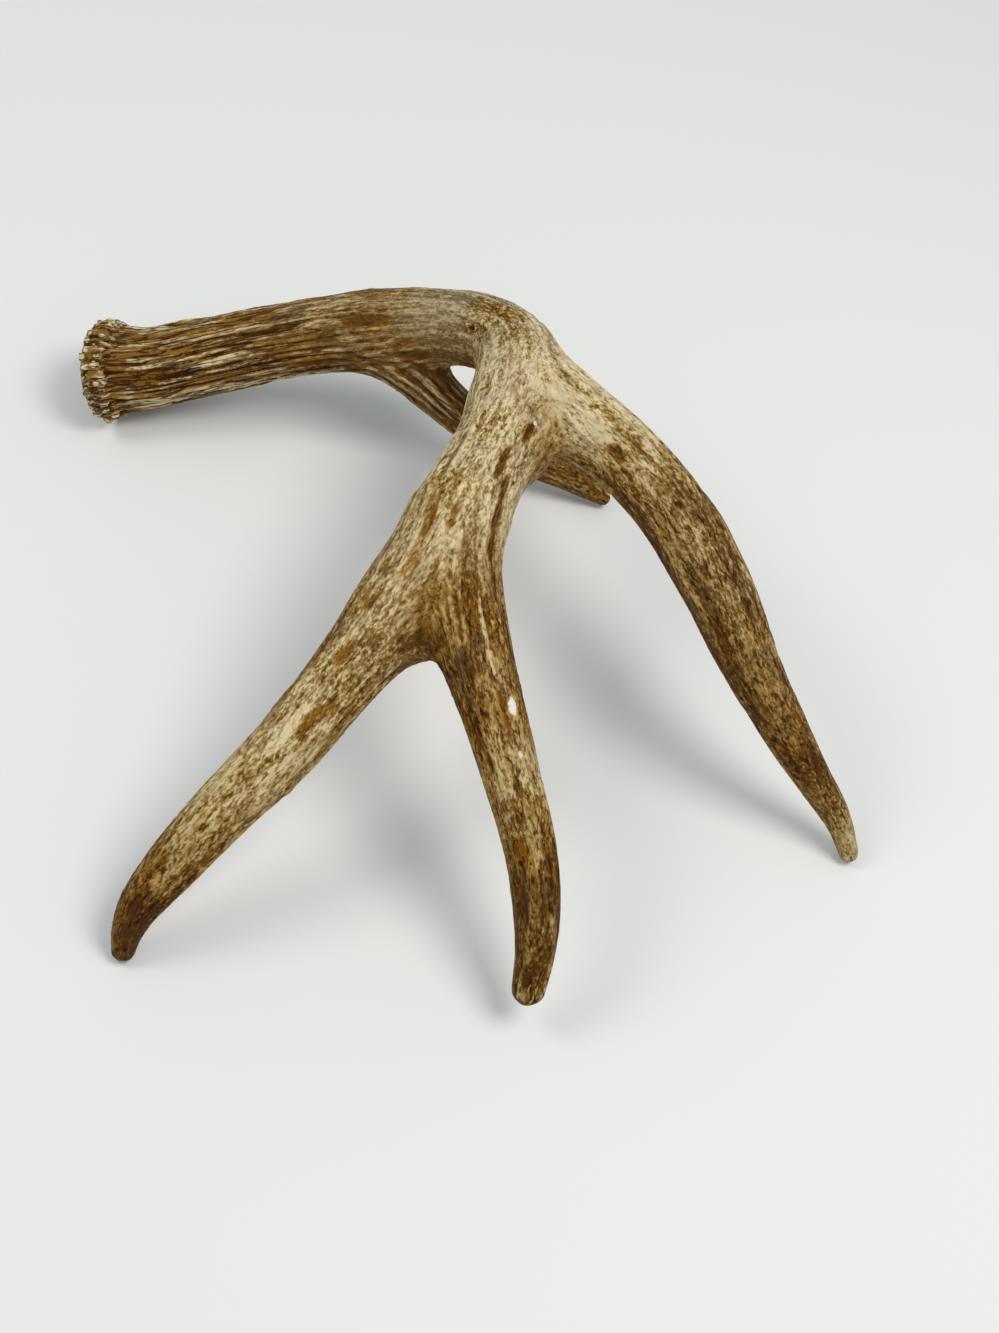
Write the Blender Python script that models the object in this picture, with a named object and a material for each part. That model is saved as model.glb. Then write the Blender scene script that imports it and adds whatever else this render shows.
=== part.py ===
"""A shed deer antler, lying on its burr and tine tips, split at its main forks.

The antler is drawn as branches: centre lines with a radius at each point. Their rounded surfaces are
blended where they meet, so that each fork gets its web, the burr's ring and pearls and the long ridges
of the lower beam are added, and the one closed skin is then cut across every branch just past its fork.
Lengths are in millimetres up to the last step, which scales the meshes to metres. +Z is up, the floor
is Z = 0, and the origin is the middle of the floor under the antler.
"""
import math

import bmesh
import bpy
import numpy as np
from mathutils import Matrix, Vector

MILLIMETRE = 0.001

# Centre lines: (x, y, z, radius), from the root to the tip.
BEAM = [
    (-125, 122.1, 17.5, 13.5), (-114, 122.4, 18, 15), (-102, 122.5, 19.2, 14.3), (-85, 122.3, 24.4, 13.8),
    (-65, 121.5, 31.9, 13.6), (-45, 119.5, 39.4, 13.5), (-27, 116, 46.4, 13.5), (-10, 112, 53.2, 13.5),
    (6, 104, 60.8, 13), (17.7, 90.5, 68, 13.3), (19.3, 72.5, 73.5, 14.6), (12.8, 52.9, 78, 14.6),
    (5, 34.2, 80.5, 14.2), (-4.2, 17.2, 80.5, 14.3), (-13.8, 0.5, 79, 15.5), (-23.5, -14.4, 75.5, 15.8),
    (-35, -27, 70.5, 14.5), (-46.4, -38.4, 64.5, 12.4), (-60, -52, 57.5, 11), (-75, -66, 49.5, 10.4),
    (-91.3, -78, 39.5, 9.6), (-105.4, -88.5, 28.5, 8.5), (-115.7, -96.7, 18, 6.5), (-119.8, -101.5, 10, 4.9),
    (-121.3, -105, 3.8, 3.7),
]
FIRST_TINE = [
    (-26, 115.5, 46, 10), (-12, 105.2, 39.8, 9.3), (2.3, 94.8, 32, 8.3), (18, 86.8, 22.8, 7.2),
    (36, 80.7, 15, 6.2), (52, 75.4, 9, 4.9), (64, 70.5, 4.4, 3.1),
]
SECOND_TINE = [
    (20, 71, 72, 9.5), (26.5, 57, 77.5, 13.2), (37, 39, 82.5, 12.7), (47.7, 20.8, 85, 12.1),
    (57.8, 2.8, 83.5, 12.1), (65.2, -12.4, 79, 11.9), (72, -26.3, 73, 11.2), (77.8, -37.6, 65, 10.2),
    (85.2, -48.3, 55, 8.9), (95.4, -58.5, 42, 7.6), (107, -68, 28, 6), (117.7, -77.3, 15, 4.6),
    (123.4, -84.8, 3.8, 3.5),
]
THIRD_TINE = [
    (-14, -0.5, 78, 12.5), (-14.5, -17.5, 78.5, 12), (-14, -33.5, 78.5, 11.6), (-12.5, -49.5, 76, 11.2),
    (-9.4, -63.5, 71, 10), (-6, -77.5, 64, 9.1), (-1.8, -90.5, 55, 8.5), (1.2, -102.5, 46.5, 7.9),
    (2.8, -114.5, 37, 7.2), (2.6, -124.5, 27, 6.2), (1, -132.8, 17, 5.2),
]
BRANCHES = {
    "beam": BEAM,
    "first tine": FIRST_TINE,
    "second tine": SECOND_TINE,
    "third tine": THIRD_TINE,
}
# Short, stout centre lines that fill the crotch of a fork out to its rounded web.
FORK_WEBS = {
    "second fork": [(16.5, 36, 79, 8), (14.5, 28.2, 79, 5.6)],
    "third fork": [(-24.5, -27, 74.5, 8), (-25.5, -35.5, 73, 6.5)],
}
MIDDLE = (-1.3, 1.1, -0.1)  # the middle of the floor under these lines, which becomes the origin
SAMPLE_STEP = 3.0          # spacing of the samples along a centre line
FORK_WEB = 3.5             # how widely two branches flow into each other at a fork

# The burr: a ring with pearls around the root of the beam.
BURR_AT = 7.0              # how far along the beam the ring sits
BURR_WAY = (0.88, -0.34, 0.36)  # the burr leans: the way that its ring faces
BURR_RING_RADIUS = 13.0    # from the beam's centre line to the middle of the ring
BURR_RING_THICKNESS = 4.8
BURR_WEB = 1.5
PEARL_COUNT = 25
PEARL_RADIUS = 1.9
SHED_FACE_BEHIND = 2.8     # how far the flat shed face lies behind the middle of the ring

# Long ridges: (how many go round, height, start angle, turn per millimetre along the branch).
RIDGES = [(11, 0.42, 0.4, 0.006), (17, 0.38, 2.1, -0.004), (24, 0.3, 4.4, 0.003)]
RIDGES_FADE_FROM = 70.0    # distances along the beam between which the ridges die away
RIDGES_FADE_TO = 150.0
RIDGES_LEFT_OVER = 0.25    # what is left of them on the rest of the antler

# Where the branches are cut: (branch, distance along it from its root, how far the cut reaches).
FORK_CUTS = [
    ("first tine", 31.0, 17.0), ("beam", 141.0, 22.0), ("second tine", 41.0, 21.0),
    ("beam", 222.0, 25.0), ("third tine", 46.0, 19.0), ("beam", 305.0, 21.0),
]
CUT_GAP = 0.3
BURR_REACH = 26.0

SKIN_GRAIN = 1.1           # size of the cells of the skin before it is thinned out
SKIN_TRIANGLES = 8400

# Node: a point inside it, its colour and its roughness.
NODES = {
    "beam_lower": ((-65, 121.5, 32.5), "#80603A", 0.62),
    "tine_first": ((35, 79.5, 14.5), "#8C7244", 0.5),
    "beam_middle": ((14, 62, 76), "#AC946E", 0.55),
    "tine_second": ((75, -32, 69), "#A4865A", 0.5),
    "beam_upper": ((-9, 9, 80), "#AC926A", 0.55),
    "tine_third": ((-4, -84, 60), "#94744A", 0.48),
    "beam_tip": ((-75.5, -65.5, 49.5), "#A8906A", 0.5),
}


class Path:
    """A centre line, sampled evenly along a smooth curve through its points."""

    def __init__(self, knots):
        dense = smooth_curve(np.array(knots, float))
        steps = np.linalg.norm(np.diff(dense[:, :3], axis=0), axis=1)
        along = np.concatenate([[0.0], np.cumsum(steps)])
        self.length = along[-1]
        count = max(int(round(self.length / SAMPLE_STEP)), 2) + 1
        self.along = np.linspace(0.0, self.length, count)
        columns = [np.interp(self.along, along, dense[:, axis]) for axis in range(4)]
        self.points = np.stack(columns[:3], axis=1) - MIDDLE
        self.radii = columns[3]
        self.tangents = unit(np.gradient(self.points, axis=0))
        self.sides = self.untwisted_sides()

    def untwisted_sides(self):
        """Side vectors that follow the bends of the line without turning about it."""
        side = np.cross(self.tangents[0], (0.0, 0.0, 1.0))
        sides = []
        for tangent in self.tangents:
            side = side - tangent * np.dot(side, tangent)
            side = side / np.linalg.norm(side)
            sides.append(side)
        return np.array(sides)

    def at(self, distance):
        """The centre and direction at a distance along the line."""
        centre = [np.interp(distance, self.along, self.points[:, axis]) for axis in range(3)]
        tangent = [np.interp(distance, self.along, self.tangents[:, axis]) for axis in range(3)]
        return Vector(centre), Vector(tangent).normalized()


def smooth_curve(knots, steps=12):
    """Catmull-Rom curve through the knots, all four columns alike."""
    ends = np.vstack([2 * knots[0] - knots[1], knots, 2 * knots[-1] - knots[-2]])
    t = np.linspace(0.0, 1.0, steps, endpoint=False)[:, None]
    pieces = []
    for before, start, end, after in zip(ends, ends[1:], ends[2:], ends[3:]):
        slope = end - before
        bend = 2 * before - 5 * start + 4 * end - after
        twist = 3 * start - before - 3 * end + after
        pieces.append(0.5 * (2 * start + slope * t + bend * t ** 2 + twist * t ** 3))
    return np.vstack(pieces + [knots[-1:]])


def unit(vectors):
    return vectors / np.maximum(np.linalg.norm(vectors, axis=-1, keepdims=True), 1e-9)


def nearest_on_path(points, path):
    """For each point: its distance from the branch's surface, the outward way, place and angle."""
    starts, spans = path.points[:-1], np.diff(path.points, axis=0)
    span_squares = (spans ** 2).sum(axis=1)
    share = ((points[:, None] - starts) * spans).sum(axis=2) / span_squares
    share = np.clip(share, 0.0, 1.0)
    offsets = points[:, None] - starts - share[..., None] * spans
    lengths = np.linalg.norm(offsets, axis=2)
    radii = path.radii[:-1] + share * np.diff(path.radii)
    rows = np.arange(len(points))
    best = (lengths - radii).argmin(axis=1)
    offset, share = offsets[rows, best], share[rows, best]
    distance = (lengths - radii)[rows, best]
    along = path.along[best] + share * np.diff(path.along)[best]
    side, forward = path.sides[best], path.tangents[best]
    across = np.cross(forward, side)
    angle = np.arctan2((offset * across).sum(axis=1), (offset * side).sum(axis=1))
    return distance, unit(offset), along, angle


def soft_minimum(distances, directions, width):
    """Blend surfaces: the smaller distance, rounded off where two are nearly alike."""
    distances = np.stack(distances)
    weights = np.exp(-(distances - distances.min(axis=0)) / width)
    total = weights.sum(axis=0)
    blended = distances.min(axis=0) - width * np.log(total)
    weights = weights / total
    direction = sum(weight[:, None] * way for weight, way in zip(weights, directions))
    return blended, unit(direction), weights


def burr_place(beam):
    """The middle of the burr's ring and the way that it faces."""
    centre, _ = beam.at(BURR_AT)
    return centre, Vector(BURR_WAY).normalized()


def pearl_centres(beam):
    """Pearls stand on the rim of the burr, unevenly, as they grow."""
    centre, forward = burr_place(beam)
    side = forward.orthogonal().normalized()
    across = forward.cross(side)
    centres = []
    for index in range(PEARL_COUNT):
        turn = math.tau * (index + 0.22 * math.sin(5.1 * index)) / PEARL_COUNT
        reach = BURR_RING_RADIUS + 3.0 + 0.4 * math.sin(2.3 * index)
        back = -1.8 + 1.1 * math.sin(3.7 * index + 1.0)
        out = side * math.cos(turn) + across * math.sin(turn)
        centres.append(centre + out * reach + forward * back)
    return np.array(centres)


def burr_surface(points, beam, pearls):
    """Distance from the burr's ring and pearls, and the way out of them."""
    centre, forward = (np.array(vector) for vector in burr_place(beam))
    offset = points - centre
    ahead = offset @ forward
    flat = offset - ahead[:, None] * forward
    ring = offset - unit(flat) * BURR_RING_RADIUS
    distances = [np.linalg.norm(ring, axis=1) - BURR_RING_THICKNESS]
    ways = [unit(ring)]
    gaps = points[:, None] - pearls
    lengths = np.linalg.norm(gaps, axis=2)
    best = lengths.argmin(axis=1)
    rows = np.arange(len(points))
    distances.append(lengths[rows, best] - PEARL_RADIUS)
    ways.append(unit(gaps[rows, best]))
    blended, direction, _ = soft_minimum(distances, ways, 0.4)
    return blended, direction


def ridge_height(along, angle, is_beam):
    """Height of the long ridges, strongest between the burr and the first fork."""
    height = np.zeros(len(along))
    for count, rise, start, turn in RIDGES:
        height += rise * np.cos(count * angle + start + count * turn * along)
    fade = (along - RIDGES_FADE_FROM) / (RIDGES_FADE_TO - RIDGES_FADE_FROM)
    fade = np.clip(fade, 0.0, 1.0) if is_beam else np.ones(len(along))
    return height * (1.0 + (RIDGES_LEFT_OVER - 1.0) * fade)


def antler_surface(points, paths, webs, pearls):
    """Distance from the antler's surface, and the way out of it."""
    names = list(paths)
    found = [nearest_on_path(points, path) for path in (*paths.values(), *webs)]
    distance, direction, weights = soft_minimum(
        [item[0] for item in found], [item[1] for item in found], FORK_WEB)
    ridges = np.zeros(len(points))
    for name, weight, (_, _, along, angle) in zip(names, weights, found):
        ridges += (2 * weight - 1).clip(0, 1) * ridge_height(along, angle, name == "beam")
    ring_distance, ring_direction = burr_surface(points, paths["beam"], pearls)
    distance, direction, _ = soft_minimum(
        [distance - ridges, ring_distance], [direction, ring_direction], BURR_WEB)
    return distance, direction


def in_chunks(function, points, *others, size=3000):
    """Run the surface function over many points without needing much memory."""
    parts = [function(points[i:i + size], *others) for i in range(0, len(points), size)]
    return [np.concatenate(column) for column in zip(*parts)]


def rough_solid(paths, pearls):
    """Overlapping balls along every centre line, which the voxel skin then joins."""
    bm = bmesh.new()
    for path in paths.values():
        for centre, radius in zip(path.points, path.radii):
            place = Matrix.Translation(Vector(centre))
            bmesh.ops.create_icosphere(bm, subdivisions=2, radius=radius, matrix=place)
    centre, forward = burr_place(paths["beam"])
    side = forward.orthogonal().normalized()
    for index in range(3 * PEARL_COUNT):
        turn = Matrix.Rotation(math.tau * index / (3 * PEARL_COUNT), 3, forward)
        place = Matrix.Translation(centre + turn @ side * BURR_RING_RADIUS)
        bmesh.ops.create_icosphere(bm, subdivisions=2, radius=BURR_RING_THICKNESS, matrix=place)
    for pearl in pearls:
        place = Matrix.Translation(Vector(pearl))
        bmesh.ops.create_icosphere(bm, subdivisions=2, radius=PEARL_RADIUS, matrix=place)
    mesh = bpy.data.meshes.new("rough_antler")
    bm.to_mesh(mesh)
    bm.free()
    return mesh


def through_modifier(mesh, kind, **settings):
    """The mesh as one modifier leaves it."""
    guide = bpy.data.objects.new("guide", mesh)
    bpy.context.collection.objects.link(guide)
    modifier = guide.modifiers.new(kind, kind)
    for name, value in settings.items():
        setattr(modifier, name, value)
    evaluated = guide.evaluated_get(bpy.context.evaluated_depsgraph_get())
    result = bpy.data.meshes.new_from_object(evaluated)
    bpy.data.objects.remove(guide)
    bpy.data.meshes.remove(mesh)
    return result


def positions(mesh):
    flat = np.empty(3 * len(mesh.vertices), np.float32)
    mesh.vertices.foreach_get("co", flat)
    return flat.reshape(-1, 3).astype(float)


def antler_skin(paths):
    """The whole antler as one closed skin of about SKIN_TRIANGLES triangles."""
    pearls = pearl_centres(paths["beam"])
    webs = [Path(knots) for knots in FORK_WEBS.values()]
    skin = through_modifier(rough_solid(paths, pearls), "REMESH", mode="VOXEL", voxel_size=SKIN_GRAIN)
    for smoothing in (3, 1, 0, 0):
        if smoothing:
            skin = through_modifier(skin, "SMOOTH", factor=0.5, iterations=smoothing)
        points = positions(skin)
        distance, direction = in_chunks(antler_surface, points, paths, webs, pearls)
        points -= distance[:, None] * direction
        skin.vertices.foreach_set("co", points.astype(np.float32).ravel())
        skin.update()
    share = SKIN_TRIANGLES / (2 * len(skin.polygons))
    return through_modifier(skin, "DECIMATE", ratio=share, use_collapse_triangulate=True)


def slice_near(bm, centre, direction, reach):
    """Cut the faces within reach of the centre along a plane."""
    faces = [face for face in bm.faces
             if min((vert.co - centre).length for vert in face.verts) < reach]
    geometry = set(faces)
    for face in faces:
        geometry.update(face.edges)
        geometry.update(face.verts)
    bmesh.ops.bisect_plane(bm, geom=list(geometry), dist=1e-5, plane_co=centre, plane_no=direction)


def remove_between(bm, centre, direction, reach, nearest, furthest):
    """Delete the faces near the centre whose middles lie between two distances along the direction."""
    faces = []
    for face in bm.faces:
        middle = face.calc_center_median() - centre
        if middle.length < reach and nearest < middle.dot(direction) < furthest:
            faces.append(face)
    bmesh.ops.delete(bm, geom=faces, context="FACES")
    rim = [edge for edge in bm.edges if edge.is_boundary]
    bmesh.ops.holes_fill(bm, edges=rim, sides=0)


def cut_branch(bm, path, distance, reach):
    """Part a branch by a thin slot across it, and close both ends with flat faces."""
    centre, direction = path.at(distance)
    for shift in (-0.5, 0.5):
        slice_near(bm, centre + direction * (CUT_GAP * shift), direction, reach)
    remove_between(bm, centre, direction, reach, -0.49 * CUT_GAP, 0.49 * CUT_GAP)


def shed_face(bm, beam):
    """Cut the root off flat, where the antler was shed."""
    centre, direction = burr_place(beam)
    centre = centre - SHED_FACE_BEHIND * direction
    slice_near(bm, centre, direction, BURR_REACH)
    remove_between(bm, centre, direction, BURR_REACH, -BURR_REACH, -0.01)


def islands(bm):
    """The separate closed pieces of the mesh, as lists of faces."""
    waiting = set(bm.faces)
    while waiting:
        piece, border = [], [waiting.pop()]
        while border:
            face = border.pop()
            piece.append(face)
            for edge in face.edges:
                for neighbour in edge.link_faces:
                    if neighbour in waiting:
                        waiting.remove(neighbour)
                        border.append(neighbour)
        yield piece


def hex_colour(text):
    """An sRGB hex colour as the linear values that a shader takes."""
    parts = [int(text[i:i + 2], 16) / 255 for i in (1, 3, 5)]
    linear = [part / 12.92 if part <= 0.04045 else ((part + 0.055) / 1.055) ** 2.4 for part in parts]
    return (*linear, 1.0)


def antler_material(name, colour, roughness):
    material = bpy.data.materials.new(name)
    material.use_nodes = True
    shader = material.node_tree.nodes["Principled BSDF"]
    shader.inputs["Base Color"].default_value = hex_colour(colour)
    shader.inputs["Roughness"].default_value = roughness
    shader.inputs["Metallic"].default_value = 0.0
    return material


def nearest_node(middle):
    """The name of the node whose inside point lies closest."""
    return min(NODES, key=lambda name: (middle - Vector(NODES[name][0])).length)


def piece_mesh(name, faces):
    """One piece of the cut skin as its own mesh, in metres."""
    piece = bmesh.new()
    copies = {}
    for face in faces:
        corners = []
        for vert in face.verts:
            if vert not in copies:
                copies[vert] = piece.verts.new(vert.co * MILLIMETRE)
            corners.append(copies[vert])
        piece.faces.new(corners)
    bmesh.ops.triangulate(piece, faces=piece.faces)
    bmesh.ops.recalc_face_normals(piece, faces=piece.faces)
    mesh = bpy.data.meshes.new(name)
    piece.to_mesh(mesh)
    piece.free()
    mesh.shade_smooth()
    mesh.set_sharp_from_angle(angle=math.radians(50))
    return mesh


def build():
    for old in list(bpy.data.objects):
        bpy.data.objects.remove(old)
    paths = {name: Path(knots) for name, knots in BRANCHES.items()}
    bm = bmesh.new()
    bm.from_mesh(antler_skin(paths))
    shed_face(bm, paths["beam"])
    for branch, distance, reach in FORK_CUTS:
        cut_branch(bm, paths[branch], distance, reach)
    for faces in islands(bm):
        middle = sum((face.calc_center_median() for face in faces), Vector()) / len(faces)
        name = nearest_node(middle)
        mesh = piece_mesh(name, faces)
        _, colour, roughness = NODES[name]
        mesh.materials.append(antler_material(name + "_bone", colour, roughness))
        bpy.context.collection.objects.link(bpy.data.objects.new(name, mesh))
    bm.free()


build()
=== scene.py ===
"""A shed deer antler, dressed as weathered bone around the fixed frame of its solids.

The antler is drawn as branches: centre lines with a radius at each point, whose rounded surfaces are
blended where they meet. A fine skin is drawn over them, its relief follows the grain of the bone, and
it is then parted at the forks into one piece for each solid. The pearls of the burr are set on it.
Lengths are in millimetres until a mesh is finished. +Z is up and the floor is Z = 0.
"""

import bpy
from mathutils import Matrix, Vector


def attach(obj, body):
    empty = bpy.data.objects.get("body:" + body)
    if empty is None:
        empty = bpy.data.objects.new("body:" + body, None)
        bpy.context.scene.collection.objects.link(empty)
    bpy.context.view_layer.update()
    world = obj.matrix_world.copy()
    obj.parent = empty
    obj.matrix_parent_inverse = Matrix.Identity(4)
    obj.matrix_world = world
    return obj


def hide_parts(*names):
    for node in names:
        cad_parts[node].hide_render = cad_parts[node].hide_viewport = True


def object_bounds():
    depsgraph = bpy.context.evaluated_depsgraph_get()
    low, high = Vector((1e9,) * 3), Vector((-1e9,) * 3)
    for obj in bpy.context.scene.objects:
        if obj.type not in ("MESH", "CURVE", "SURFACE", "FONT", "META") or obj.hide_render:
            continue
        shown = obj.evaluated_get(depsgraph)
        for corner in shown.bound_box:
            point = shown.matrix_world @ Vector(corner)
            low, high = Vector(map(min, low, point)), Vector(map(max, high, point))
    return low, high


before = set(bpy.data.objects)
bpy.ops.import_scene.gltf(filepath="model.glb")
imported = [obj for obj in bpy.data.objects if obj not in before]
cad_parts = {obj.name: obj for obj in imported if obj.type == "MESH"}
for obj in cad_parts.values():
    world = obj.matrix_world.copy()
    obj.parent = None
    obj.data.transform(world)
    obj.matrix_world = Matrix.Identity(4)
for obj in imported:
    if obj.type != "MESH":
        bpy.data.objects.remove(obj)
CAD_BOX = [list(corner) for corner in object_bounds()]

import itertools
import math

import bmesh
import bpy
import numpy as np
from mathutils import Euler, Matrix, Vector

bl_info = {
    "name": "Deer Antler",
    "version": (1, 0, 0),
    "blender": (4, 5, 0),
    "location": "3D View > Sidebar > Antler",
    "description": "Builds a shed deer antler of ridged and flecked bone",
    "category": "Add Mesh",
}

MILLIMETRE = 0.001

# Centre lines: (x, y, z, radius), from the root to the tip.
BEAM = [
    (-125, 122.1, 17.5, 13.5), (-114, 122.4, 18, 15), (-102, 122.5, 19.2, 14.3), (-85, 122.3, 24.4, 13.8),
    (-65, 121.5, 31.9, 13.6), (-45, 119.5, 39.4, 13.5), (-27, 116, 46.4, 13.5), (-10, 112, 53.2, 13.5),
    (6, 104, 60.8, 13), (17.7, 90.5, 68, 13.3), (19.3, 72.5, 73.5, 14.6), (12.8, 52.9, 78, 14.6),
    (5, 34.2, 80.5, 14.2), (-4.2, 17.2, 80.5, 14.3), (-13.8, 0.5, 79, 15.5), (-23.5, -14.4, 75.5, 15.8),
    (-35, -27, 70.5, 14.5), (-46.4, -38.4, 64.5, 12.4), (-60, -52, 57.5, 11), (-75, -66, 49.5, 10.4),
    (-91.3, -78, 39.5, 9.6), (-105.4, -88.5, 28.5, 8.5), (-115.7, -96.7, 18, 6.5),
    (-119.8, -101.5, 10, 4.9), (-121.3, -105, 3.8, 3.7),
]
FIRST_TINE = [
    (-26, 115.5, 46, 10), (-12, 105.2, 39.8, 9.3), (2.3, 94.8, 32, 8.3), (18, 87.2, 23.2, 7.6),
    (36, 81.3, 15.6, 6.8), (52, 76, 9.5, 5.3), (63.5, 71, 4.5, 3.0),
]
SECOND_TINE = [
    (20, 71, 72, 9.5), (26.5, 57, 77.5, 13.2), (37, 39, 82.5, 12.7), (47.7, 20.8, 85, 12.1),
    (57.8, 2.8, 83.5, 12.1), (65.2, -12.4, 79, 11.9), (72, -26.3, 73, 11.2), (77.8, -37.6, 65, 10.2),
    (85.2, -48.3, 55, 8.9), (95.4, -58.5, 42, 7.6), (107, -68, 28, 6), (117.7, -77.3, 15, 4.6),
    (123.4, -84.8, 3.8, 3.5),
]
THIRD_TINE = [
    (-14, -0.5, 78, 12.5), (-14.5, -17.5, 78.5, 12), (-14, -33.5, 78.5, 11.6), (-12.5, -49.5, 76, 11.2),
    (-9.4, -63.5, 71, 10), (-6, -77.5, 64, 9.1), (-1.8, -90.5, 55, 8.5), (1.2, -102.5, 46.5, 7.9),
    (2.8, -114.5, 37, 7.2), (2.6, -124.5, 27, 6.2), (1, -132.8, 17, 5.2),
]
BRANCHES = {
    "beam": BEAM,
    "first tine": FIRST_TINE,
    "second tine": SECOND_TINE,
    "third tine": THIRD_TINE,
}
# Short, stout centre lines that fill the crotch of a fork out to its rounded web.
FORK_WEBS = {
    "second fork": [(16.5, 36, 79, 8), (14.5, 28.2, 79, 5.6)],
    "third fork": [(-24.5, -27, 74.5, 8), (-25.5, -35.5, 73, 6.5)],
}
MIDDLE = (-1.3, 1.1, -0.1)  # the middle of the floor under these lines, which becomes the origin
SAMPLE_STEP = 3.0          # spacing of the samples along a centre line
FORK_WEB = 3.5             # how widely two branches flow into each other at a fork
SMOOTHING = (4, 2, 1, 0)   # how often the skin is smoothed before each time it is set on the surface

# The burr: a ring around the root of the beam, with pearls on its rim.
BURR_AT = 7.0              # how far along the beam the ring sits
BURR_WAY = (0.88, -0.34, 0.36)  # the burr leans: the way that its ring faces
BURR_RING_RADIUS = 13.0    # from the beam's centre line to the middle of the ring
BURR_RING_THICKNESS = 4.6
BURR_BALLS = 75            # balls that its rough solid is made of
BURR_WEB = 1.5             # how widely the ring and the beam flow into each other
BURR_REACH = 26.0          # how far around the ring's middle the shed face is cut
PEARL_COUNT = 29           # pearls in each row around the burr
# How far a pearl strays from its even place: along the row, in steps of it, then outwards and ahead.
PEARL_STRAYS = (0.22, 0.4, 0.8)
PEARL_LUMPS = 0.2          # height of the lumps on a pearl
# Row: (how far ahead of the ring, how far out of its middle, share of the full pearl size).
PEARL_ROWS = {0: (-1.6, 3.2, 1.0), 1: (1.9, 2.9, 0.85)}
SHED_FACE_BEHIND = 2.8     # how far the flat shed face lies behind the middle of the ring
# Pits in the shed face: (width, half their depth, seed). They fade out between two distances from
# its middle.
SHED_FACE_PITS = ((1.3, 0.35, 13), (3.0, 0.25, 17))
SHED_FACE_PITTED = (16.0, 13.0)

# Where the branches are parted: (branch, distance along it from its root, how far the cut reaches).
FORK_CUTS = [
    ("first tine", 31.0, 17.0), ("beam", 141.0, 22.0), ("second tine", 41.0, 21.0),
    ("beam", 222.0, 25.0), ("third tine", 46.0, 19.0), ("beam", 305.0, 21.0),
]

# Piece: a point inside it, the solid it stands for and the name of a material slot, which is not used:
# every piece takes the one bone material.
PIECES = {
    "lower_beam": ((-65, 121.5, 32.5), "beam_lower", "ridged_bone"),
    "first_tine": ((35, 79.5, 14.5), "tine_first", "tine_bone"),
    "middle_beam": ((14, 62, 76), "beam_middle", "beam_bone"),
    "second_tine": ((75, -32, 69), "tine_second", "tine_bone"),
    "upper_beam": ((-9, 9, 80), "beam_upper", "beam_bone"),
    "third_tine": ((-4, -84, 60), "tine_third", "tine_bone"),
    "end_of_beam": ((-75.5, -65.5, 49.5), "beam_tip", "beam_bone"),
}

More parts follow.
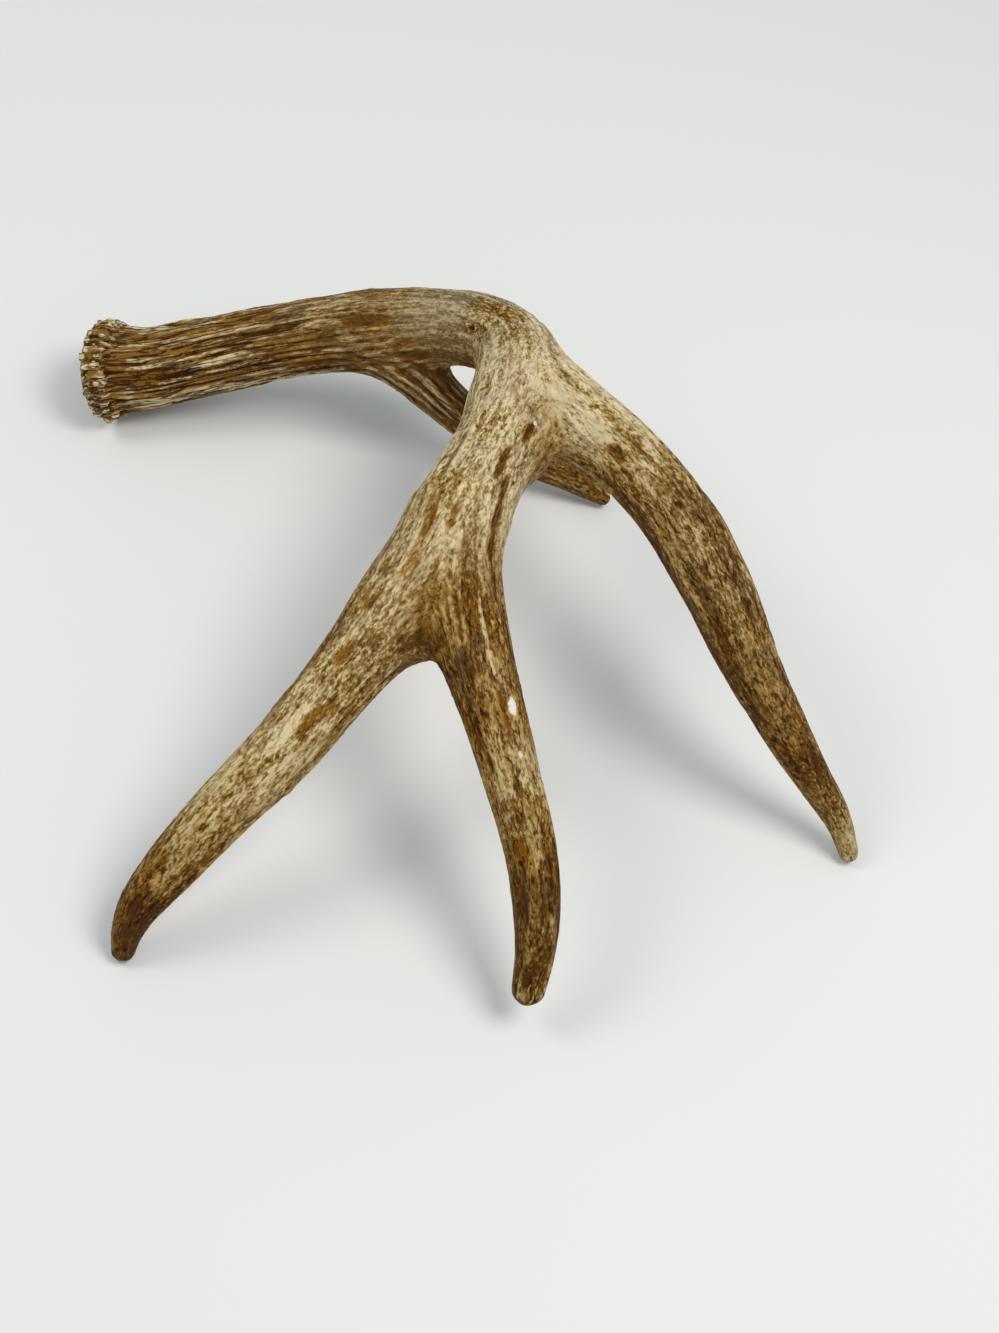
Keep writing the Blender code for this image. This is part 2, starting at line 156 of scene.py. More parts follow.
# How strong each finish is along each branch: (distance along it, strength).
ZONES = {
    # Deep grooves between ridges, as on the lower beam.
    "ridged": {
        "beam": ((0, 1), (60, 0.95), (85, 0.75), (112, 0.4), (140, 0.15), (433, 0.08)),
        "first tine": ((0, 0.75), (35, 0.7), (70, 0.3), (110, 0.1)),
        "second tine": ((0, 0.14), (219, 0.08)),
        "third tine": ((0, 0.16), (154, 0.1)),
    },
    # Bone that is nearly free of stain.
    "pale": {
        "beam": ((0, 0.1), (100, 0.2), (145, 0.5), (185, 0.9), (220, 1.1), (265, 1.2), (310, 0.6),
                 (335, 1), (380, 1.2), (402, 0.7), (415, 0.2), (433, 0)),
        # The first tine has no pale bone near its root, where shadow under the beam is painted.
        "first tine": ((0, 0), (60, 0.3), (90, 0.8), (110, 0.6)),
        "second tine": ((0, 1.3), (45, 1.5), (80, 0.5), (150, 0.4), (190, 0.7), (219, 1.6)),
        "third tine": ((0, 0.7), (50, 0.3), (80, 1.5), (105, 1.2), (125, 0.2), (154, 0.2)),
    },
    # Brown stain that soaks into the bone; near the root of the first tine it is painted shadow under the
    # beam.
    "brown": {
        "beam": ((0, 0.6), (50, 0.45), (100, 0.4), (145, 0.35), (175, 0.1), (200, -0.15), (235, -0.1),
                 (265, 0.15), (300, 0.35), (350, 0.2), (385, 0.25), (402, 0.45), (414, 0.8), (433, 0.7)),
        # The first tine's strong brown near its root is painted shadow under the beam.
        "first tine": ((0, 1.5), (35, 1.4), (60, 0.7), (85, 0.5), (110, 0.3)),
        "second tine": ((0, 0.1), (40, 0), (75, 0.5), (120, 0.45), (175, 0.9), (195, 0.4), (219, -0.1)),
        "third tine": ((0, 0.2), (45, 0.7), (65, 0.7), (90, 0.2), (120, 0.8), (138, 0.3), (154, -0.3)),
    },
    # Grey weathering, as on the bend.
    "grey": {
        "beam": ((0, 0), (60, 0.25), (95, 0.8), (130, 1.2), (165, 1.1), (195, 0.6), (240, 0.4),
                 (285, 0.4), (310, 0.25), (350, 0.2), (433, 0)),
        "first tine": ((0, 0.5), (30, 0.3), (110, 0)),
        "second tine": ((0, 0.4), (40, 0.15), (90, 0.3), (170, 0.35), (219, 0.1)),
        "third tine": ((0, 0.3), (60, 0.3), (154, 0)),
    },
    # Orange stain in streaks along the grain.
    "ochre": {
        "beam": ((0, 0.5), (100, 0.45), (140, 0.15), (190, 0.4), (225, 0.9), (290, 1.1), (330, 0.9),
                 (385, 0.6), (433, 0)),
        "first tine": ((0, 0.3), (110, 0.3)),
        "second tine": ((0, 0.4), (219, 0.5)),
        "third tine": ((0, 0.6), (60, 0.9), (120, 0.9), (154, 0.3)),
    },
    # Olive stain, as towards the tips; the webs of the forks have it too, with painted shade in their
    # crotches.
    "olive": {
        "beam": ((0, 0), (300, 0), (360, 0.2), (395, 0.6), (433, 0.5)),
        "first tine": ((0, 0.3), (50, 0.6), (110, 0.8)),
        "second tine": ((0, 0), (70, 0.2), (120, 0.4), (190, 0.6), (219, 0.7)),
        "third tine": ((0, 0.1), (50, 0.3), (105, 0.5), (120, 0.9), (154, 0.7)),
    },
    # Dark flecks along the grain.
    "flecked": {
        "beam": ((0, 0.2), (100, 0.3), (140, 0.3), (180, 0.5), (300, 0.5), (380, 0.4), (410, 1), (433, 1)),
        "first tine": ((0, 0.3), (60, 0.6), (110, 0.9)),
        "second tine": ((0, 0.5), (45, 0.6), (80, 1), (219, 1)),
        "third tine": ((0, 0.8), (60, 1), (154, 1)),
    },
    # Tips that are rubbed smooth.
    "tip": {
        "beam": ((0, 0), (400, 0), (425, 1)),
        "first tine": ((0, 0), (80, 0), (105, 0.6)),
        "second tine": ((0, 0), (150, 0), (205, 0.5)),
        "third tine": ((0, 0), (105, 0), (145, 1)),
    },
}

# Painted shade: the sides and the underside are drawn browner than the top.
SIDE_SHADE = 0.35          # how much browner the sides and the underside are than the top
SIDE_SHADE_FROM = 0.6      # it starts where the bone looks less than this share upwards
WEB_STAIN_AND_SHADE_REACH = 11.0     # how far the olive stain and the painted shade in a fork's crotch reach around its web
WEB_BROWN = 0.25           # how much brown the painted shade in a fork's crotch brings with it
TINES_APART = 300.0        # how far apart the tines are set along their grain

# Marks that this antler carries, with painted light and shade among them: (place, half length along the
# grain, half width, strength).
MARKS = {
    # A chip that bares the white bone, then two painted glints: one lower on the third tine and one at the
    # second fork.
    "chip": [
        ((-4, -69.2, 78.9), 3.2, 1.6, 1), ((-2, -82, 72), 1.3, 1.0, 0.8), ((17, 31.8, 91.8), 1.1, 0.9, 0.9),
    ],
    # Small pits with dark floors.
    "pit": [((6.3, 91, 73.6), 1.5, 1.1, 1), ((-4.2, 31.9, 93.6), 1.3, 1.2, 0.5)],
    # A low nub under the beam's tip.
    "nub": [((-70, -77, 48), 3.5, 2.0, 1)],
    # Pale places: painted light on the lit front edge under the lower beam (the first three), and bleached
    # bone on its top near the bend, the root of the second tine, the trunk, the flank of the beam's tip
    # and two lines that run down into the third tine.
    "bleach": [
        # These three are painted light on the lit front edge under the lower beam.
        ((-99, 107, 16), 15, 5, 1), ((-75, 107.5, 22.5), 17, 5, 1), ((-50, 106.5, 31.5), 15, 3.6, 0.9),
        ((-37, 118, 57), 24, 6, 0.6), ((37, 27, 95), 8, 5, 0.6), ((27, 46, 93), 6, 4, 0.8),
        ((22, 56, 93), 7, 4, 0.5), ((49, 7, 95), 9, 4, 0.6), ((-8, 1, 95), 7, 3, 0.5),
        ((-47, -38, 78), 6, 3, 0.6), ((-65, -53, 67), 9, 3, 0.4), ((-74, -66, 61), 9, 3, 0.5),
        ((-11, -45, 89), 9, 0.9, 1), ((-10, -56, 86), 7, 0.9, 1),
    ],
    # Rusty streaks on the trunk, the beam's tip and the third tine.
    "rust": [
        ((-24, -9, 93), 9, 1.6, 1), ((-30, -21, 90), 8, 1.6, 0.9), ((-16, -8, 95), 6, 1.3, 0.8),
        ((-52, -45, 74), 6, 1.9, 1), ((-64, -63, 64), 7, 1.7, 1), ((-58, -60, 66), 5, 1.6, 0.8),
        ((-110, -93, 34), 6, 3, 0.6), ((-7, -72, 78), 8, 1.3, 0.9), ((-2, -105, 54), 4, 3, 0.9),
    ],
    # Dark stains: low on the lower beam, down the trunk's right side, on the third tine and the tips, and
    # painted shadow under the beam at the root of the first tine.
    "stain": [
        ((-107, 109, 26), 9, 5, 1), ((-94, 110, 28), 14, 3.4, 1), ((-68, 107, 36), 24, 2.4, 1),
        # The wide mark at (-10, 103, 37) is painted shadow that the beam casts on the root of the first
        # tine.
        ((-41, 105, 38), 18, 3, 1), ((-10, 103, 37), 20, 9, 1), ((14, 28, 92), 5, 1.5, 1),
        ((3, 14, 94), 8, 1.7, 1), ((3, 5, 92), 7, 1.7, 1), ((-1, -5, 91), 8, 1.6, 1),
        ((-5, -17, 89), 7, 1.4, 0.9),
        ((-6, -30, 88), 7, 1.3, 0.8), ((-17, -57, 84), 5, 3.6, 1), ((-15, 20, 89), 1.5, 1.0, 0.9),
        ((41, 17, 94), 4, 2, 0.9), ((-15, -73, 74), 3, 0.9, 1), ((-11, -83, 69), 3, 1.0, 1),
        ((-3, -91, 66), 4, 1.1, 1), ((-3, -97, 61), 4, 0.9, 1), ((5, -101, 58), 4, 0.9, 1),
        ((-1, -111, 49), 4, 1.0, 1), ((-1, -118, 43), 6, 1.1, 1), ((0, -134, 25), 4, 1.5, 1),
        ((-116, -101, 24), 4, 1.8, 1), ((-120, -106, 15), 4, 1.5, 0.8), ((-76, -72, 58), 1.5, 0.8, 1),
        ((-101, -96, 35), 3, 1.5, 0.8), ((-96, -87, 45), 2, 1.1, 0.8),
    ],
}
MARK_HEIGHTS = {"chip": -0.3, "pit": -0.8, "nub": 0.7}
MARK_EDGE = (1.3, 0.6)     # a mark shows from the first and is full from the second share of its size
STAIN_BROWN = 1.6          # how much browner the bone is in a dark stain or the painted shadow at the first tine's root,
RUST_BROWN = 0.6           # how much browner in a rusty streak
BLEACH_PALE = 0.8          # and how much paler in a bleached place or on the painted lit edge under the lower beam

# Ridges around each branch, with a groove between each two.
RIDGES = {"beam": 29, "first tine": 17, "second tine": 23, "third tine": 21}

# What the bone's material reads at each point.
FACTS = ("pale", "brown", "grey", "ochre", "olive", "flecked", "ridged", "tip", "strand", "thread",
         "crest", "deep", "chip", "pit", "bleach", "rust", "stain", "shed")

# The grain: noise is averaged along the branches' direction, looked up on a coarse grid.
GRAIN_GRID = 4.0
GRAIN_WEB = 5.0            # how widely the directions of two branches mix at a fork
GRAIN_STEP = 1.0
# Layer: (width of a groove and its ridge, how far it is averaged each way, its seed).
GRAIN_LAYERS = {
    "broad": (6.5, 30.0, 11),
    "coarse": (3.0, 24.0, 23),
    "middle": (1.8, 12.0, 37),
}
LUMP_SHARE = 0.75          # a lump of the noise is this share of that width

TONE_LEVEL = -2.64         # how light the bone is as a whole
BONE_IOR = 1.54


def linear(text):
    """An sRGB hex colour as the linear values that a shader takes."""
    parts = [int(text[i:i + 2], 16) / 255 for i in (1, 3, 5)]
    return tuple(part / 12.92 if part <= 0.04045 else ((part + 0.055) / 1.055) ** 2.4 for part in parts)


def length_property(name, description, millimetres, **more):
    return bpy.props.FloatProperty(
        name=name, description=description, default=millimetres * MILLIMETRE, min=0.0,
        subtype="DISTANCE", unit="LENGTH", precision=5, **more)


def colour_property(name, description, text):
    return bpy.props.FloatVectorProperty(
        name=name, description=description, default=linear(text), size=3, min=0.0, max=1.0,
        subtype="COLOR")


class AntlerShape(bpy.types.PropertyGroup):
    skin_cell: length_property("Skin cell", "Size of the skin's quads; smaller is finer and slower", 0.55)
    groove_depth: length_property("Groove depth", "Depth of the grooves near the burr", 0.95)
    grain_depth: length_property("Grain depth", "Depth of the fine grain on the rest of the bone", 0.22)
    pearl_size: length_property("Pearl size", "Radius of a large pearl on the burr", 2.25)
    pearl_unevenness: bpy.props.FloatProperty(
        name="Pearl unevenness", description="How much the pearls differ in each direction",
        default=0.28, min=0.0, max=0.8)


class AntlerColours(bpy.types.PropertyGroup):
    pale: colour_property("Pale", "Cleanest bone", "#E6D7AE")
    cream: colour_property("Cream", "Clean bone", "#C0A872")
    tan: colour_property("Tan", "Lightly stained bone", "#876624")
    brown: colour_property("Brown", "Brown stain", "#5A3904")
    fleck: colour_property("Fleck", "Tint of the dark flecks", "#8E6538")
    grey: colour_property("Grey", "Weathered bone", "#978A6E")
    ochre: colour_property("Ochre", "Orange stain along the grain", "#7E5608")
    olive: colour_property("Olive", "Olive stain that tints the tines and the forks' webs", "#BEA869")
    amber: colour_property("Amber", "Tint of the bone where brown stain has soaked in", "#D3B05E")
    honey: colour_property("Honey", "Stained bone of the lower beam", "#8E682A")
    groove: colour_property("Groove", "The bottom of the grooves", "#351202")
    crest: colour_property("Crest", "Worn tops of the ridges", "#DCCBA2")
    rubbed: colour_property("Rubbed", "Rubbed tips", "#523602")
    bleached_and_lit: colour_property("Bleached", "Bleached bone", "#CDB98E")
    rust: colour_property("Rust", "Rusty streaks", "#7E5006")
    # The stain colour also paints the shadow at the root of the first tine.
    stain: colour_property("Stain", "Dark stains", "#4A2408")
    # The colour of bare bone in the chip, and of the painted glints.
    chip: colour_property("Chip", "Bare bone in a chip", "#E6E1D6")
    seal: colour_property("Seal", "The shed face", "#A58C63")


class AntlerStage(bpy.types.PropertyGroup):
    floor: colour_property("Floor", "Plain pale floor", "#E6E6E3")
    right_power: bpy.props.FloatProperty(
        name="Right light", description="Power of the soft light on the right", default=5.6, unit="POWER")
    left_power: bpy.props.FloatProperty(
        name="Left light", description="Power of the soft light on the left", default=3.9, unit="POWER")
    sky_strength: bpy.props.FloatProperty(
        name="Fill", description="Strength of the even light from all round", default=0.58, min=0.0)
    lens: bpy.props.FloatProperty(
        name="Lens", description="Focal length of the camera", default=0.051, unit="LENGTH",
        subtype="DISTANCE_CAMERA")


class Path:
    """A centre line, sampled evenly along a smooth curve through its points."""

    def __init__(self, knots):
        dense = smooth_curve(np.array(knots, float))
        steps = np.linalg.norm(np.diff(dense[:, :3], axis=0), axis=1)
        along = np.concatenate([[0.0], np.cumsum(steps)])
        self.length = along[-1]
        count = max(int(round(self.length / SAMPLE_STEP)), 2) + 1
        self.along = np.linspace(0.0, self.length, count)
        columns = [np.interp(self.along, along, dense[:, axis]) for axis in range(4)]
        self.points = np.stack(columns[:3], axis=1) - MIDDLE
        self.radii = columns[3]
        self.tangents = unit(np.gradient(self.points, axis=0))
        self.sides = self.untwisted_sides()

    def untwisted_sides(self):
        """Side vectors that follow the bends of the line without turning about it."""
        side = np.cross(self.tangents[0], (0.0, 0.0, 1.0))
        sides = []
        for tangent in self.tangents:
            side = side - tangent * np.dot(side, tangent)
            side = side / np.linalg.norm(side)
            sides.append(side)
        return np.array(sides)

    def at(self, distance):
        """The centre and direction at a distance along the line."""
        centre = [np.interp(distance, self.along, self.points[:, axis]) for axis in range(3)]
        tangent = [np.interp(distance, self.along, self.tangents[:, axis]) for axis in range(3)]
        return Vector(centre), Vector(tangent).normalized()


def branch_paths():
    return {name: Path(knots) for name, knots in BRANCHES.items()}


def fork_webs():
    return [Path(knots) for knots in FORK_WEBS.values()]


def smooth_curve(knots, steps=12):
    """Catmull-Rom curve through the knots, all four columns alike."""
    ends = np.vstack([2 * knots[0] - knots[1], knots, 2 * knots[-1] - knots[-2]])
    t = np.linspace(0.0, 1.0, steps, endpoint=False)[:, None]
    pieces = []
    for before, start, end, after in zip(ends, ends[1:], ends[2:], ends[3:]):
        slope = end - before
        bend = 2 * before - 5 * start + 4 * end - after
        twist = 3 * start - before - 3 * end + after
        pieces.append(0.5 * (2 * start + slope * t + bend * t ** 2 + twist * t ** 3))
    return np.vstack(pieces + [knots[-1:]])


def unit(vectors):
    return vectors / np.maximum(np.linalg.norm(vectors, axis=-1, keepdims=True), 1e-9)


def smoothstep(low, high, values):
    share = np.clip((values - low) / (high - low), 0.0, 1.0)
    return share * share * (3.0 - 2.0 * share)


def nearest_on_path(points, path):
    """For each point: its distance from the branch's surface and the way out of it."""
    closest = ((path.points ** 2).sum(axis=1) - 2.0 * points @ path.points.T).argmin(axis=1)
    window = np.clip(closest[:, None] + np.arange(-3, 3), 0, len(path.points) - 2)
    starts = path.points[window]
    spans = path.points[window + 1] - starts
    share = ((points[:, None] - starts) * spans).sum(axis=2) / (spans ** 2).sum(axis=2)
    share = np.clip(share, 0.0, 1.0)
    offsets = points[:, None] - starts - share[..., None] * spans
    lengths = np.linalg.norm(offsets, axis=2)
    radii = path.radii[window] + share * (path.radii[window + 1] - path.radii[window])
    rows = np.arange(len(points))
    column = (lengths - radii).argmin(axis=1)
    return (lengths - radii)[rows, column], unit(offsets[rows, column])


def place_on_branch(points, path):
    """Where each point would lie if the branch were straight: (aside, across, along), without jumps.

    A point lies between the planes across two neighbouring samples, and its share of the way from one
    to the other runs on smoothly into the next pair.
    """
    closest = ((path.points ** 2).sum(axis=1) - 2.0 * points @ path.points.T).argmin(axis=1)
    window = np.clip(closest[:, None] + np.arange(-3, 3), 0, len(path.points) - 2)
    past = ((points[:, None] - path.points[window]) * path.tangents[window]).sum(axis=2)
    short = ((path.points[window + 1] - points[:, None]) * path.tangents[window + 1]).sum(axis=2)
    share = past / np.maximum(past + short, 1e-6)
    rows = np.arange(len(points))
    column = np.abs(share - 0.5).argmin(axis=1)
    best, share = window[rows, column], np.clip(share[rows, column], 0.0, 1.0)

    def between(values):
        return values[best] + share[:, None] * (values[best + 1] - values[best])

    offset = points - between(path.points)
    side, forward = unit(between(path.sides)), unit(between(path.tangents))
    across = np.cross(forward, side)
    along = between(path.along[:, None])[:, 0]
    return np.stack([(offset * side).sum(axis=1), (offset * across).sum(axis=1), along], axis=1)


def soft_minimum(distances, directions, width):
    """Blend surfaces: the smaller distance, rounded off where two are nearly alike."""
    distances = np.stack(distances)
    weights = np.exp(-(distances - distances.min(axis=0)) / width)
    total = weights.sum(axis=0)
    blended = distances.min(axis=0) - width * np.log(total)
    weights = weights / total
    direction = sum(weight[:, None] * way for weight, way in zip(weights, directions))
    return blended, unit(direction), weights


def burr_place(beam, behind=0.0):
    """The middle of the burr's ring, or a point behind it, and the way that the ring faces."""
    forward = Vector(BURR_WAY).normalized()
    return beam.at(BURR_AT)[0] - behind * forward, forward


def burr_ring(points, beam):
    """Distance from the burr's ring, and the way out of it."""
    centre, forward = (np.array(vector) for vector in burr_place(beam))
    offset = points - centre
    ahead = offset @ forward
    flat = offset - ahead[:, None] * forward
    ring = offset - unit(flat) * BURR_RING_RADIUS
    return np.linalg.norm(ring, axis=1) - BURR_RING_THICKNESS, unit(ring)


def antler_surface(points, paths, webs):
    """Distance from the antler's smooth surface and the way out of it."""
    found = [nearest_on_path(points, path) for path in (*paths.values(), *webs)]
    distance, direction, _ = soft_minimum(
        [item[0] for item in found], [item[1] for item in found], FORK_WEB)
    ring_distance, ring_direction = burr_ring(points, paths["beam"])
    distance, direction, _ = soft_minimum(
        [distance, ring_distance], [direction, ring_direction], BURR_WEB)
    return distance, direction


def grain_way(points, paths):
    """The way the grain runs: along the nearest branch, closing in as the branch narrows."""
    distances, ways = [], []
    for path in paths.values():
        distance, outward = nearest_on_path(points, path)
        along = place_on_branch(points, path)[:, 2]
        forward = np.stack([np.interp(along, path.along, path.tangents[:, axis])
                            for axis in range(3)], axis=1)
        narrowing = np.interp(along, path.along, np.gradient(path.radii, path.along))
        distances.append(distance)
        ways.append(forward + narrowing[:, None] * outward)
    _, way, _ = soft_minimum(distances, ways, GRAIN_WEB)
    return (way,)


def in_chunks(function, points, *others, size=8000):
    """Run a function over many points without needing much memory."""
    parts = [function(points[i:i + size], *others) for i in range(0, len(points), size)]
    return [np.concatenate(column) for column in zip(*parts)]


class GrainGrid:
    """The way of the grain on a coarse grid around the antler, looked up at any point."""

    def __init__(self, points, paths):
        self.low = points.min(axis=0) - 2 * GRAIN_GRID
        counts = np.ceil((points.max(axis=0) + 2 * GRAIN_GRID - self.low) / GRAIN_GRID).astype(int) + 1
        axes = [self.low[axis] + GRAIN_GRID * np.arange(counts[axis]) for axis in range(3)]
        places = np.stack(np.meshgrid(*axes, indexing="ij"), axis=-1).reshape(-1, 3)
        self.ways = in_chunks(grain_way, places, paths)[0].reshape(*counts, 3)

    def at(self, points):
        scaled = (points - self.low) / GRAIN_GRID
        cell = np.clip(np.floor(scaled).astype(int), 0, np.array(self.ways.shape[:3]) - 2)
        share = scaled - cell
        total = np.zeros_like(points)
        for corner in itertools.product((0, 1), repeat=3):
            weight = np.prod(np.where(corner, share, 1.0 - share), axis=1)
            total += weight[:, None] * self.ways[tuple((cell + corner).T)]
        return unit(total)


def cell_values(cells, seed):
    """A fixed number from -1 to 1 for each whole-numbered cell."""
    mixed = cells[:, 0] * 73856093 ^ cells[:, 1] * 19349663 ^ cells[:, 2] * 83492791 ^ seed * 40503
    mixed = (mixed ^ (mixed >> 13)) * 1274126177
    mixed = (mixed ^ (mixed >> 16)) * 668265263
    return ((mixed >> 8) & 0xFFFF) / 32767.5 - 1.0


def cloud(points, size, seed):
    """Smooth noise from -1 to 1 whose lumps are about as wide as size."""
    scaled = points / size + 0.37 * seed
    low = np.floor(scaled).astype(np.int64)
    share = scaled - low
    share = share * share * (3.0 - 2.0 * share)
    total = np.zeros(len(points))
    for corner in itertools.product((0, 1), repeat=3):
        weight = np.prod(np.where(corner, share, 1.0 - share), axis=1)
        total += weight * cell_values(low + corner, seed)
    return total


def grain_streaks(points, grid):
    """Noise averaged along the grain, one array for each layer, from about -2 to 2."""
    totals = {name: np.zeros(len(points)) for name in GRAIN_LAYERS}
    furthest = max(reach for _, reach, _ in GRAIN_LAYERS.values())
    for side in (-1.0, 1.0):
        place = points.copy()
        for step in range(int(furthest / GRAIN_STEP) + 1):
            for name, (size, reach, seed) in GRAIN_LAYERS.items():
                if step * GRAIN_STEP < reach:
                    weight = 0.5 + 0.5 * math.cos(math.pi * step * GRAIN_STEP / reach)
                    totals[name] += weight * cloud(place, size * LUMP_SHARE, seed)
            place += side * GRAIN_STEP * grid.at(place)
    return {name: total / total.std() for name, total in totals.items()}


def zone_strengths(points, paths, webs):
    """How strong each finish is at each point, the branches' weights there and its place on each."""
    names = list(paths)
    found = [nearest_on_path(points, paths[name]) for name in names]
    _, outward, weights = soft_minimum([item[0] for item in found], [item[1] for item in found], FORK_WEB)
    places = np.stack([place_on_branch(points, paths[name]) for name in names])
    facts = {}
    for zone, branches in ZONES.items():
        facts[zone] = sum(
            weight * np.interp(place[:, 2], *zip(*branches[name]))
            for name, weight, place in zip(names, weights, places))
    # Painted shade: browner where the surface faces sideways or down.
    facts["brown"] += SIDE_SHADE * (SIDE_SHADE_FROM - outward[:, 2])
    nearest_tine = 1 + np.argmax(weights[1:], axis=0)
    facts["beam_grain"] = places[0]
    # Tines are set apart along their grain, so that no two carry the same pattern.
    nearest_place = places[nearest_tine, np.arange(len(points))]
    facts["tine_grain"] = nearest_place + TINES_APART * nearest_tine[:, None]
    facts["tine_share"] = 1.0 - weights[0]
    # Painted shade in the crotch of each fork, together with its olive stain: olive and browner near the
    # web.
    from_web = np.min([nearest_on_path(points, web)[0] for web in webs], axis=0)
    web_stain_and_shade = smoothstep(WEB_STAIN_AND_SHADE_REACH, 1.0, from_web)
    facts["olive"] = np.maximum(facts["olive"], web_stain_and_shade)
    facts["brown"] += WEB_BROWN * web_stain_and_shade
    return facts, weights, places


def ridge_wave(points, weights, places, streaks):
    """From -1 in a groove to 1 on a ridge; the grooves run along the branches and wander."""
    wander = 1.5 * streaks["broad"] + 1.3 * cloud(points, 16.0, 41)
    turns = np.arctan2(places[:, :, 1], places[:, :, 0])
    return sum(weight * np.cos(count * turn + wander)
               for weight, count, turn in zip(weights, RIDGES.values(), turns))


def rough_solid(paths):
    """Overlapping balls along every centre line and around the burr's ring."""
    bm = bmesh.new()
    for path in paths.values():
        for centre, radius in zip(path.points, path.radii):
            place = Matrix.Translation(Vector(centre))
            bmesh.ops.create_icosphere(bm, subdivisions=2, radius=radius, matrix=place)
    centre, forward = burr_place(paths["beam"])
    side = forward.orthogonal().normalized()
    for index in range(BURR_BALLS):
        turn = Matrix.Rotation(math.tau * index / BURR_BALLS, 3, forward)
        place = Matrix.Translation(centre + turn @ side * BURR_RING_RADIUS)
        bmesh.ops.create_icosphere(bm, subdivisions=2, radius=BURR_RING_THICKNESS, matrix=place)
    mesh = bpy.data.meshes.new("rough_antler")
    bm.to_mesh(mesh)
    bm.free()
    return mesh


def through_modifier(mesh, kind, **settings):
    """The mesh as one modifier leaves it."""
    guide = bpy.data.objects.new("guide", mesh)
    bpy.context.collection.objects.link(guide)
    modifier = guide.modifiers.new(kind, kind)
    for name, value in settings.items():
        setattr(modifier, name, value)
    evaluated = guide.evaluated_get(bpy.context.evaluated_depsgraph_get())
    result = bpy.data.meshes.new_from_object(evaluated)
    bpy.data.objects.remove(guide)
    bpy.data.meshes.remove(mesh)
    return result


def positions(mesh):
    flat = np.empty(3 * len(mesh.vertices), np.float32)
    mesh.vertices.foreach_get("co", flat)
    return flat.reshape(-1, 3).astype(float)


def place_vertices(mesh, points):
    mesh.vertices.foreach_set("co", points.astype(np.float32).ravel())
    mesh.update()


def onto_shed_face(points, beam):
    """Press what lies behind the shed face forward onto it."""
    centre, forward = (np.array(vector) for vector in burr_place(beam, SHED_FACE_BEHIND))
    offset = points - centre
    ahead = offset @ forward
    aside = np.linalg.norm(offset - ahead[:, None] * forward, axis=1)
    behind = (ahead < 0.0) & (aside < BURR_REACH) & (ahead > -BURR_REACH)
    points[behind] -= ahead[behind, None] * forward
    return np.abs(ahead), aside


def smooth_skin(paths, webs, cell):
    """One closed skin of even quads on the antler's smooth surface."""
    skin = through_modifier(rough_solid(paths), "REMESH", mode="VOXEL", voxel_size=cell)
    for smoothing in SMOOTHING:
        if smoothing:
            skin = through_modifier(skin, "SMOOTH", factor=0.5, iterations=smoothing)
        points = positions(skin)
        distance, direction = in_chunks(antler_surface, points, paths, webs)
        points -= distance[:, None] * direction
        onto_shed_face(points, paths["beam"])
        place_vertices(skin, points)
    return skin


def longest_loop(edges):
    """Of the separate rows that the edges form, the longest."""
    waiting, rows = set(edges), []
    while waiting:
        row, border = [], [waiting.pop()]
        while border:
            edge = border.pop()
            row.append(edge)
            for vert in edge.verts:
                for neighbour in vert.link_edges:
                    if neighbour in waiting:
                        waiting.remove(neighbour)
                        border.append(neighbour)
        rows.append(row)
    return max(rows, key=len)


def mark_cuts(skin, paths):
    """Draw a row of seam edges around each branch where it is parted."""
    bm = bmesh.new()
    bm.from_mesh(skin)
    for branch, distance, reach in FORK_CUTS:
        centre, direction = paths[branch].at(distance)
        faces = [face for face in bm.faces if (face.verts[0].co - centre).length < reach]
        geometry = set(faces)
        for face in faces:
            geometry.update(face.edges)
            geometry.update(face.verts)
        cut = bmesh.ops.bisect_plane(
            bm, geom=list(geometry), dist=1e-4, plane_co=centre, plane_no=direction)["geom_cut"]
        for edge in longest_loop(part for part in cut if isinstance(part, bmesh.types.BMEdge)):
            edge.seam = True
    bm.to_mesh(skin)
    bm.free()


def outward_normals(mesh):
    flat = np.empty(3 * len(mesh.vertices), np.float32)
    mesh.vertex_normals.foreach_get("vector", flat)
    return flat.reshape(-1, 3).astype(float)


def bone_relief(points, streaks, wave, facts, shape):
    """Height of the grooves, ridges and grain at each point, and what the material reads of them."""
    def furrow(layer, width):
        return np.exp(-np.abs(streaks[layer]) / width)

    # Ridges are lumpy along their length, and grooves come and go.
    lumps = cloud(points, 3.0, 5)
    comes = smoothstep(-1.1, 0.1, streaks["middle"] + 0.8 * lumps)
    groove = np.clip(smoothstep(-0.35, -0.9, wave) * comes + 0.5 * furrow("coarse", 0.2), 0.0, 1.0)
    small = furrow("middle", 0.32) * smoothstep(-0.6, 0.5, streaks["broad"] + lumps)
    strand = 0.6 * streaks["broad"] + 0.8 * streaks["coarse"]
    depth = facts["ridged"] * shape.groove_depth / MILLIMETRE
    height = depth * (0.2 + 0.25 * wave - 0.6 * groove - 0.25 * small + 0.1 * strand + 0.2 * lumps)

    # Fine grain covers all of the bone, less of it where a tip is rubbed.
    grain = shape.grain_depth / MILLIMETRE * (1.0 - 0.6 * facts["tip"])
    height += grain * (0.8 * strand + 0.4 * streaks["middle"] + 0.3 * cloud(points, 9.0, 3))
    height -= grain * 0.8 * furrow("coarse", 0.2)
    facts["strand"] = np.clip(0.5 + 0.25 * strand, 0.0, 1.0)
    facts["thread"] = np.clip(0.5 + 0.25 * streaks["middle"], 0.0, 1.0)
    facts["deep"] = np.clip(groove + 0.45 * small, 0.0, 1.0)
    facts["crest"] = smoothstep(-0.2, 0.7, wave) * smoothstep(-0.6, 0.7, streaks["coarse"] + lumps)
    return height


